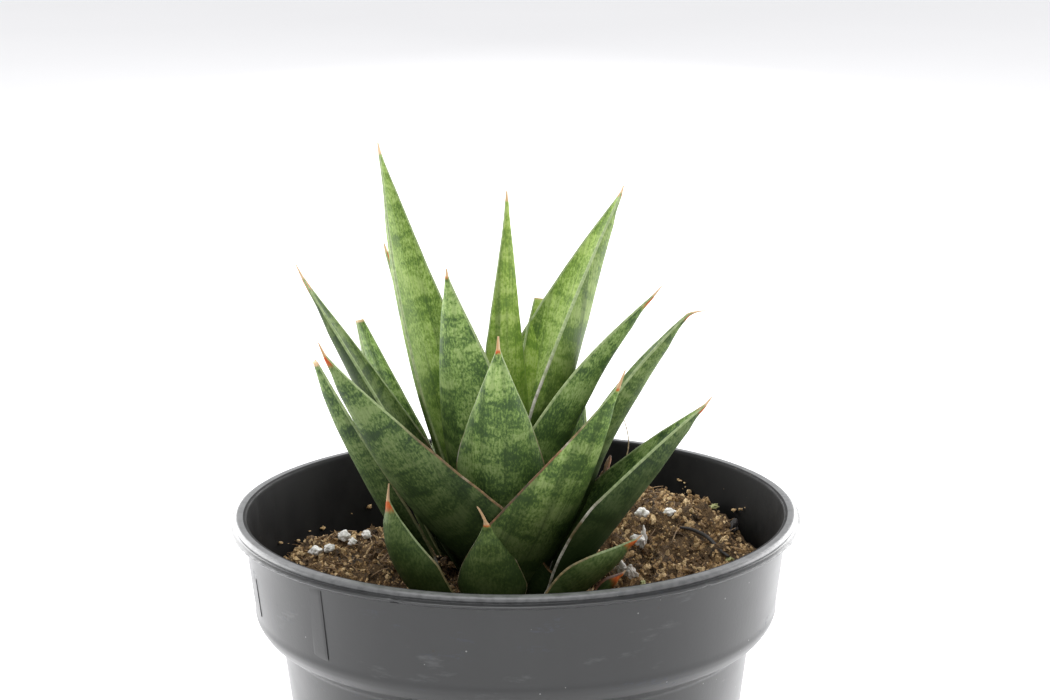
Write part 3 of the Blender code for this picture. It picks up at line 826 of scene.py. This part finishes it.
def moulding_mark(name, heading, width_mm, low, high, lift, finish, wedge):
    """Slightly raised upright mark left by the mould on the collar."""
    points, faces = [], []
    across_steps, up_steps = 10, 16
    for face in (0, 1):
        for i in range(up_steps + 1):
            height = low + (high - low) * i / up_steps
            for j in range(across_steps + 1):
                share = j / across_steps
                angle = radians(heading) + (share - 0.5) * width_mm / COLLAR_RADIUS
                raised = lift * (wedge + (1 - wedge) * share) if face else -0.25
                if face and (j == 0 or i in (0, up_steps)):
                    raised = -0.05
                elif face and j == across_steps:
                    raised *= 0.75
                radius = collar_radius_at(height) + raised
                points.append((radius * sin(angle), -radius * cos(angle), height))
    row = across_steps + 1
    block = row * (up_steps + 1)
    for i in range(up_steps):
        for j in range(across_steps):
            a = i * row + j
            faces.append((a, a + 1, a + row + 1, a + row))
            faces.append((block + a, block + a + row, block + a + row + 1, block + a + 1))
    border = list(range(row)) + [i * row + across_steps for i in range(1, up_steps + 1)] \
        + [up_steps * row + j for j in range(across_steps - 1, -1, -1)] \
        + [i * row for i in range(up_steps - 1, 0, -1)]
    for a, b in zip(border, border[1:] + border[:1]):
        faces.append((a, b, block + b, block + a))
    mesh = outward(mesh_from(name, points, faces))
    mesh.set_sharp_from_angle(angle=radians(30))
    piece_from(name, mesh, (finish,))


def pot_marks():
    """The raised strip and the seam on the collar, in a darker copy of the pot's plastic as painted
    shade.
    """
    # Tone 0.82: the same plastic painted darker, as painted shade on the marks.
    finish = pot_finish("moulded_mark_shaded_plastic", 0.82)
    moulding_mark("collar_strip", -43.8, 4.6, RIM_TOP - 19.3, RIM_TOP - 3.2, 0.30, finish, 0.15)
    moulding_mark("collar_seam_left", -70.5, 0.7, RIM_TOP - 18.0, RIM_TOP - 9.0, 0.16, finish, 0.5)


# ------------------------------------------------------------------ soil
def bed_height(x, y):
    """Crumbly surface of the soil, sunk along the wall at the back and the left."""
    radius = hypot(x, y)
    height = soil_height(x, y)
    heading = atan2(x, -y)
    sunk = 0.5 + 0.5 * cos(heading - radians(235.0))
    edge = min(1.0, max(0.0, (radius - 44.0) / 9.0))
    height -= edge * edge * (0.5 + 3.5 * sunk)
    lumps = 2.0 * swell(x, y, 3.0, 9.0) + 2.3 * swell(x, y, 7.0, 3.6)
    crumbs = 1.5 * abs(swell(x, y, 1.0, 1.9)) + 0.5 * swell(x, y, 5.0, 0.9)
    return max(height + lumps + crumbs - 0.3, RIM_TOP - COLLAR_DEPTH + 0.8)


def tinted(mesh, value):
    """Store one value of the tint that peat_finish reads."""
    tint = mesh.attributes.new("tint", "FLOAT", "POINT")
    tint.data.foreach_set("value", [value] * len(mesh.vertices))
    return mesh


def soil_bed():
    """Closed body of soil: crumbly top, plain sides and underside just inside the pot."""
    rings, around = 116, 300
    points = [(0.0, 0.0, bed_height(0.0, 0.0))]
    turns = [(cos(2 * pi * k / around), sin(2 * pi * k / around)) for k in range(around)]
    for ring in range(1, rings + 1):
        radius = SOIL_RADIUS * (ring / rings) ** 0.9
        points += [(radius * x, radius * y, bed_height(radius * x, radius * y)) for x, y in turns]
    walls = ((COLLAR_RADIUS - WALL - 0.55, RIM_TOP - COLLAR_DEPTH),
             (COLLAR_RADIUS - WALL - 1.3, RIM_TOP - COLLAR_DEPTH - 1.7),
             (BODY_RADIUS - WALL + 0.2, RIM_TOP - SHOULDER_DEPTH + 1.5),
             (BODY_RADIUS - WALL - 0.6, RIM_TOP - SHOULDER_DEPTH),
             (BASE_RADIUS - WALL - 0.6, SOIL_FOOT))
    for radius, height in walls:
        points += [(radius * x, radius * y, height) for x, y in turns]
    faces = [(0, 1 + k, 1 + (k + 1) % around) for k in range(around)]
    faces += [(a, d, c, b) for a, b, c, d in between_rings(rings + len(walls), around, first=1)]
    hub = len(points)
    points.append((0.0, 0.0, SOIL_FOOT))
    last = 1 + (rings + len(walls) - 1) * around
    faces += [(last + k, hub, last + (k + 1) % around) for k in range(around)]
    mesh = tinted(outward(mesh_from("peat_bed", points, faces)), 0.30)
    # The bed is the darker copy of the peat, 0.7: painted shade between the crumbs.
    return piece_from("peat_bed", mesh, (peat_finish("peat", 0.7),),
                      ("potting_soil",))


def crumb_shapes(kind, rough):
    """Six rough shapes to scatter, about a metre across before scaling, kept out of the studio."""
    box = bpy.data.collections.new(kind)
    for index in range(6):
        bm = bmesh.new()
        if kind == "coir_threads":
            rings = []
            for step in range(5):
                t = step / 4.0 - 0.5
                centre = Vector((t * 4.0, 0.9 * sin(2.2 * t + index), 0.5 * cos(3.0 * t + index)))
                radius = 0.10 * (1.0 - 1.5 * abs(t) ** 2)
                rings.append([bm.verts.new(centre + Vector((0, radius * cos(a), radius * sin(a))))
                              for a in (0.0, 2.1, 4.2)])
            for low, high in zip(rings, rings[1:]):
                for k in range(3):
                    bm.faces.new((low[k], low[(k + 1) % 3], high[(k + 1) % 3], high[k]))
            bm.faces.new(rings[0])
            bm.faces.new(rings[-1][::-1])
        else:
            bmesh.ops.create_icosphere(bm, subdivisions=2 if kind == "peat_lumps" else 1, radius=0.5)
            for vert in bm.verts:
                push = noise.noise(vert.co * 2.3 + Vector((index * 5.0, 0, 0)))
                vert.co *= 1.0 + rough * push
                vert.co.x *= 1.0 + 0.25 * (index % 3)
                vert.co.z *= 0.75
        mesh = settled(bm, bpy.data.meshes.new(f"{kind}_{index}"), outwards=True)
        box.objects.link(bpy.data.objects.new(f"{kind}_{index}", mesh))
    return box


def scatter_tree(name, shapes, finish):
    """Geometry nodes: scatter the shapes over the upward faces of the soil."""
    tree = bpy.data.node_groups.new(name, "GeometryNodeTree")
    sizes = [(label, "INPUT", "Float")
             for label in ("Pieces per square metre", "Smallest", "Largest", "Lean", "Reach")]
    for label, side, kind in (("Geometry", "INPUT", "Geometry"), *sizes, ("Seed", "INPUT", "Int"),
                              ("Geometry", "OUTPUT", "Geometry")):
        tree.interface.new_socket(label, in_out=side, socket_type="NodeSocket" + kind)

    def put(kind, feeds=None, **settings):
        return wire(tree, kind, feeds, settings)

    given = put("NodeGroupInput")
    upward = put("ShaderNodeSeparateXYZ", {0: put("GeometryNodeInputNormal")})
    spot = put("GeometryNodeInputPosition")
    plan = put("ShaderNodeVectorMath", {0: spot, 1: (1.0, 1.0, 0.0)}, operation="MULTIPLY")
    far = put("ShaderNodeVectorMath", {0: plan}, operation="LENGTH")
    facing = put("FunctionNodeCompare", {0: upward.outputs[2], 1: 0.15}, operation="GREATER_THAN")
    within = put("FunctionNodeCompare", {0: far.outputs[1], 1: given.outputs[5]},
                 operation="LESS_THAN")
    top = put("FunctionNodeBooleanMath", {0: facing, 1: within})
    spots = put("GeometryNodeDistributePointsOnFaces",
                {"Mesh": given, "Selection": top,
                 "Density": given.outputs[1], "Seed": given.outputs[6]})
    pick = put("GeometryNodeCollectionInfo", {0: shapes, 1: True, 2: True})
    turn = put("FunctionNodeRandomValue", {0: (0.0, 0.0, 0.0), 1: (2 * pi, 2 * pi, 2 * pi),
                                           "Seed": given.outputs[6]}, data_type="FLOAT_VECTOR")
    leaning = put("ShaderNodeCombineXYZ", {0: given.outputs[4], 1: given.outputs[4], 2: 1.0})
    lean = put("ShaderNodeVectorMath", {0: turn, 1: leaning}, operation="MULTIPLY")
    size = put("FunctionNodeRandomValue", {2: given.outputs[2], 3: given.outputs[3],
                                           "Seed": given.outputs[6]}, data_type="FLOAT")
    placed = put("GeometryNodeInstanceOnPoints",
                 {"Points": spots, "Instance": pick, "Pick Instance": True,
                  "Rotation": lean, "Scale": size.outputs[1]})
    tint = put("FunctionNodeRandomValue", {2: 0.0, 3: 1.0, "Seed": 7}, data_type="FLOAT")
    toned = put("GeometryNodeStoreNamedAttribute",
                 {"Geometry": placed, "Name": "tint", "Value": tint.outputs[1]},
                 data_type="FLOAT", domain="INSTANCE")
    solid = put("GeometryNodeRealizeInstances", {0: toned})
    worn = put("GeometryNodeSetMaterial", {"Geometry": solid, "Material": finish})
    put("NodeGroupOutput", {0: worn})
    return tree


def scattered(name, bed, shapes, finish, per_square_metre, smallest, largest, lean, seed,
              clear=1.2):
    """Scatter shapes over the bed, sizes in mm, and keep the result as one plain mesh.

    clear keeps the shapes off the pot's wall, as a share of the largest.
    """
    tree = scatter_tree(name + "_scatter", shapes, finish)
    holder = linked(name + "_holder", bed.data.copy())
    spread = holder.modifiers.new("scatter", "NODES")
    spread.node_group = tree
    values = {"Pieces per square metre": per_square_metre, "Smallest": smallest * MM,
              "Largest": largest * MM, "Lean": lean, "Seed": seed,
              "Reach": (SOIL_RADIUS - clear * largest) * MM}
    for socket in tree.interface.items_tree:
        if socket.in_out == "INPUT" and socket.name in values:
            spread[socket.identifier] = values[socket.name]
    mesh = evaluated(holder)
    bpy.data.objects.remove(holder, do_unlink=True)
    mesh.materials.clear()
    mesh.shade_smooth()
    mesh.set_sharp_from_angle(angle=radians(40))
    return piece_from(name, mesh, (finish,))


def crumble(bed):
    """Lumps, grains and coir fibres over the whole bed."""
    # The lumps and grains are lighter copies of the peat: painted light on the crumbs.
    lump, grain = peat_finish("peat_lump", 1.4), peat_finish("peat_grain", 1.7)
    thread = flat_bit_finish("coir", (0.10, 0.055, 0.028), (0.38, 0.25, 0.13), 1.5)
    scattered("peat_lumps", bed, crumb_shapes("peat_lumps", 1.2), lump, 1.9e5, 0.6, 1.6, 1.0, 3)
    scattered("peat_grains", bed, crumb_shapes("peat_grains", 1.1), grain, 7.6e5, 0.3, 0.9, 1.0, 5)
    scattered("coir_fibres", bed, crumb_shapes("coir_threads", 0.0), thread, 7.0e4, 0.5, 1.6,
              0.10, 8, 2.4)


# ------------------------------------------------------------------ loose bits
PERLITE_PIECES = 8


def lump_mesh(name, centre, sizes, seed, rough, folds=0.0):
    """One rough pebble, flake or chip."""
    bm = bmesh.new()
    bmesh.ops.create_icosphere(bm, subdivisions=4, radius=0.5)
    for vert in bm.verts:
        unit = vert.co.normalized()
        push = rough * noise.noise(unit * 1.5 + Vector((seed, 0, 0))) \
            + 0.30 * rough * noise.noise(unit * 3.5 + Vector((0, seed, 0))) \
            + 0.07 * rough * noise.noise(unit * 10.0 + Vector((0, 0, seed)))
        vert.co = unit * (0.5 + 0.5 * push)
        vert.co = Vector((vert.co.x * sizes[0], vert.co.y * sizes[1], vert.co.z * sizes[2]))
        vert.co.z += folds * sin(1.9 * vert.co.x + seed) * 0.5
    bmesh.ops.rotate(bm, matrix=Matrix.Rotation(seed * 1.3, 3, "Z"), verts=bm.verts)
    for vert in bm.verts:
        vert.co = (vert.co + Vector(centre)) * MM
    mesh = settled(bm, bpy.data.meshes.new(name))
    mesh.shade_smooth()
    return mesh


def perlite():
    """Foamed white chips, each where the frame has its grain."""
    foam = flat_bit_finish("perlite_foam", (0.52, 0.50, 0.46), (0.88, 0.87, 0.84), 0.7, depth=0.5)
    for index in range(1, PERLITE_PIECES + 1):
        low, high = (np.array(corner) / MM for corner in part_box(f"perlite_{index}"))
        centre, size = (low + high) / 2.0, high - low
        sizes = (size[0] * 1.35, size[1] * 1.05, size[2] * 1.15)
        name = f"perlite_chip_{index}"
        piece_from(name, lump_mesh(name, centre, sizes, index * 2.7, 0.45), (foam,),
                   (f"perlite_{index}",))


def loose_bits():
    """Papery husks, green chips and a dark bark chip on the soil, and a near-black sliver laid in a
    shadowed hollow as painted shade.
    """
    paper = flat_bit_finish("papery_husk", (0.30, 0.25, 0.20), (0.78, 0.75, 0.70), 1.0)
    moss = flat_bit_finish("green_chip", (0.16, 0.18, 0.05), (0.42, 0.42, 0.20), 0.9)
    bark = flat_bit_finish("bark_chip", (0.008, 0.007, 0.007), (0.035, 0.030, 0.028), 0.8)
    bits = (
        ("husk_by_tip", (27.5, 7.5, 2.2), (2.6, 1.0, 4.0), 0.6),
        ("husk_low", (22.5, -7.5, 1.4), (4.2, 1.6, 2.6), 0.8),
        ("husk_curl", (24.0, -9.0, 0.8), (2.2, 1.4, 2.2), 0.6),
        ("green_chip_back", (44.0, 25.0, 0.5), (1.8, 1.4, 1.0), 0.0),
        ("green_chip_front", (26.5, -10.0, 0.6), (2.4, 1.4, 1.0), 0.2),
        ("green_chip_side", (45.5, 2.0, 0.5), (1.7, 1.2, 1.0), 0.0),
        ("green_chip_low", (12.0, -24.0, 0.6), (1.8, 1.3, 1.2), 0.0),
        ("dark_chip_back", (48.0, 20.0, 1.0), (4.5, 1.6, 2.2), 0.6),
    )
    kinds = {"husk": (paper, "dried_straw"), "green": (moss, "potting_soil"), "dark": (bark, "bark")}
    for index, (name, (x, y, lift), sizes, folds) in enumerate(bits):
        finish, slot = kinds[name.split("_")[0]]
        chip = lump_mesh(name, (x, y, bed_height(x, y) + lift), sizes, 1.0 + index * 3.1, 1.0, folds)
        piece_from(name, chip, (finish,))
    # A near-black strand in the bark finish, laid where the soil holds a shadowed hollow: painted shade.
    path = ((35.5, 10.8), (37.6, 10.6), (39.5, 9.8), (41.2, 8.5), (42.5, 6.5), (43.8, 3.8), (45.3, 1.5))
    tube("dark_sliver", [(x, y, soil_height(x, y) + 1.5) for x, y in path], 0.42, bark,
         ("bark_sliver",))


def tube(name, path, radius, finish, replaced=()):
    """Tapered strand through a few points, mm."""
    sides = 10
    path = [Vector(point) for point in path]
    fine = []
    for index in range(len(path) - 1):
        p0, p1 = path[max(index - 1, 0)], path[index]
        p2, p3 = path[index + 1], path[min(index + 2, len(path) - 1)]
        for k in range(6):
            t = k / 6.0
            fine.append(0.5 * ((2 * p1) + (p2 - p0) * t + (2 * p0 - 5 * p1 + 4 * p2 - p3) * t * t
                               + (3 * p1 - p0 - 3 * p2 + p3) * t ** 3))
    fine.append(path[-1])
    points = []
    for index, centre in enumerate(fine):
        ahead = (fine[min(index + 1, len(fine) - 1)] - fine[max(index - 1, 0)]).normalized()
        side = ahead.cross(Vector((0.31, 0.22, 0.92))).normalized()
        over = side.cross(ahead)
        share = index / (len(fine) - 1)
        thick = radius * (0.35 + 0.65 * sin(pi * min(1.0, 0.08 + share * 0.84)) ** 0.5)
        for k in range(sides):
            angle = 2 * pi * k / sides
            points.append(centre + thick * (side * cos(angle) + over * sin(angle)))
    faces = between_rings(len(fine), sides)
    faces.append(tuple(range(sides))[::-1])
    faces.append(tuple((len(fine) - 1) * sides + k for k in range(sides)))
    mesh = outward(mesh_from(name, points, faces))
    return piece_from(name, mesh, (finish,), replaced)


def stuck_crumbs():
    """Crumbs of soil clinging to the pot's inner wall over the bed."""
    dust = peat_finish("wall_crumb", 1.5)
    bm = bmesh.new()
    groups = ((215.0, RIM_TOP - 13.0, 12.0, 1.0, 5), (137.5, RIM_TOP - 7.0, 2.0, 1.6, 5),
              (132.0, RIM_TOP - 10.0, 9.0, 3.0, 9), (116.0, RIM_TOP - 9.0, 9.0, 3.0, 9),
              (245.0, RIM_TOP - 14.5, 18.0, 1.5, 9),
              (180.0, RIM_TOP - 12.5, 34.0, 2.5, 12), (75.0, RIM_TOP - 11.5, 16.0, 2.2, 8))
    rng = np.random.default_rng(11)
    for heading, height, spread, rise, count in groups:
        for _ in range(count):
            angle = radians(heading + rng.normal(0.0, spread * 0.5))
            z = height + rng.normal(0.0, rise * 0.5)
            radius = collar_radius_at(z) - WALL - 0.35
            size = 0.25 + 0.9 * rng.uniform(0.0, 1.0) ** 2
            spot = Vector((radius * sin(angle), -radius * cos(angle), z))
            made = bmesh.ops.create_icosphere(bm, subdivisions=2, radius=0.5 * size)["verts"]
            for vert in made:
                vert.co *= 1.0 + 1.3 * noise.noise(vert.co / size * 1.7 + spot)
                vert.co.z *= 0.6 + 0.5 * sin(spot.x * 9.0)
                vert.co = (vert.co + spot) * MM
    mesh = settled(bm, bpy.data.meshes.new("wall_crumbs"))
    mesh.shade_smooth()
    piece_from("wall_crumbs", tinted(mesh, 0.8), (dust,))


# ------------------------------------------------------------------ studio
LENS = 80.6                     # mm
VIEW_DISTANCE = 0.4885          # m
VIEW_LIFT, VIEW_ROLL = 13.11, -0.30
VIEW_MIDDLE = (2.19, 33.84)     # mm right of the pot's axis, and over the rim


def studio():
    """Pale floor, soft light from above and both sides, and the camera."""
    paper = Finish("pale_floor")
    tone = paper.grain(paper.place(), 300.0)
    paper.wear("Base Color", paper.ramp(tone, ((0.3, (0.87, 0.87, 0.875)),
                                               (0.7, (0.88, 0.88, 0.885)))))
    paper.shader.inputs["Roughness"].default_value = 0.9
    sheet = bpy.data.meshes.new("floor")
    sheet.from_pydata([(-6, -6, 0), (6, -6, 0), (6, 6, 0), (-6, 6, 0)], [], [(0, 1, 2, 3)])
    sheet.materials.append(paper.material)
    linked("floor", sheet)

    world = bpy.data.worlds.new("soft_surround")
    bpy.context.scene.world = world
    world.use_nodes = True
    sky = world.node_tree.nodes["Background"]
    sky.inputs[0].default_value = (0.985, 0.985, 1.0, 1.0)
    sky.inputs[1].default_value = 0.97

    def panel(name, spot, aim, width, height, power):
        lamp = bpy.data.lights.new(name, "AREA")
        lamp.shape = "RECTANGLE"
        lamp.size, lamp.size_y, lamp.energy = width, height, power
        item = linked(name, lamp)
        item.location = spot
        item.rotation_euler = (Vector(aim) - Vector(spot)).to_track_quat("-Z", "Y").to_euler()

    centre = (0.0, 0.0, 0.12)
    panel("overhead_soft", (-0.05, -0.15, 1.1), centre, 0.9, 0.9, 7.0)
    panel("left_soft", (-0.95, 0.80, 0.36), centre, 1.6, 0.9, 25.0)
    panel("right_soft", (0.95, 0.80, 0.36), centre, 1.6, 0.9, 28.0)

    eye = bpy.data.cameras.new("viewer")
    eye.lens, eye.sensor_width = LENS, 36.0
    eye.clip_start, eye.clip_end = 0.01, 30.0
    viewer = linked("viewer", eye)
    aim = Vector((VIEW_MIDDLE[0], 0.0, RIM_TOP + VIEW_MIDDLE[1])) * MM
    lift = radians(VIEW_LIFT)
    back = Vector((0.0, -cos(lift), sin(lift)))
    up = Vector((0.0, sin(lift), cos(lift)))
    right = Vector((1.0, 0.0, 0.0))
    roll = radians(VIEW_ROLL)
    across, over = right * cos(roll) + up * sin(roll), up * cos(roll) - right * sin(roll)
    turn = Matrix((across, over, back)).transposed().to_4x4()
    viewer.matrix_world = Matrix.Translation(aim + back * VIEW_DISTANCE) @ turn
    bpy.context.scene.camera = viewer
    bpy.context.scene.view_settings.view_transform = "Standard"


def fibre_hair():
    """One pale hair standing up behind the right-hand leaves."""
    fibre = flat_bit_finish("pale_fibre", (0.30, 0.20, 0.11), (0.55, 0.42, 0.27), 1.0)
    path = ((23.5, 22.0), (24.2, 25.5), (24.0, 28.5), (23.2, 31.5))
    tube("fibre_hair", [(x, 9.0, SOIL_LEVEL + rise) for x, rise in path], 0.12, fibre)


def colour_stem():
    """The crown stem keeps its frame shape, in the colour of leaf feet."""
    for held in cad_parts["crown_stem"].material_slots:
        held.material = flat_bit_finish("crown_tissue", (0.10, 0.13, 0.045), (0.26, 0.30, 0.12), 1.6)


studio()
make_pot()
pot_marks()
bed = soil_bed()
crumble(bed)
grow_leaves()
dry_bract()
perlite()
loose_bits()
stuck_crumbs()
fibre_hair()
colour_stem()
